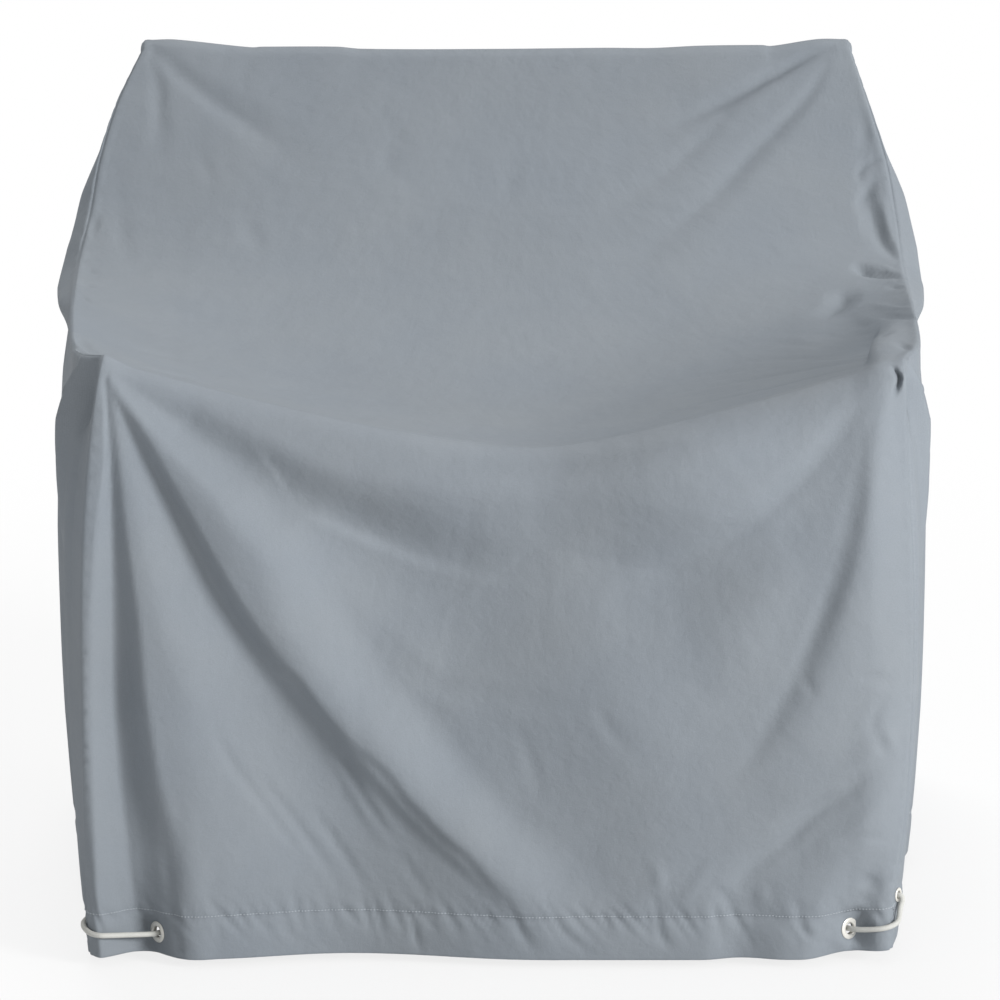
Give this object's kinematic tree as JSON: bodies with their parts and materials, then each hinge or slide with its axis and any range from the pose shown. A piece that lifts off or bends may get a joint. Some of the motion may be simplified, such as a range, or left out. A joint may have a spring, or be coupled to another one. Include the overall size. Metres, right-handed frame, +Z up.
{
  "type": "outdoor sofa cover",
  "caption": "Fitted weather cover of coated cloth, hollow and open below, draped in folds, with corner eyelets and elastic cords at the hem.",
  "frame": {"origin": "inner face of the cloth under the middle of the top, where what it covers carries it", "axes": "+Z up, -Y the front, +X to the right seen from the front"},
  "size_m": [0.9323, 0.8571, 0.8314],
  "materials": {
    "cloth": "coated woven cloth, matt with a faint sheen",
    "eyelet": "plated, satin",
    "cord": "braided elastic"
  },
  "bodies": {
    "root": {"main_panel": "cloth", "left_side_panel": "cloth", "right_side_panel": "cloth", "front_left_eyelet": "eyelet", "side_left_eyelet": "eyelet", "front_right_eyelet": "eyelet", "side_right_eyelet": "eyelet", "left_corner_cord": "cord", "right_corner_cord": "cord"}
  },
  "joints": []
}
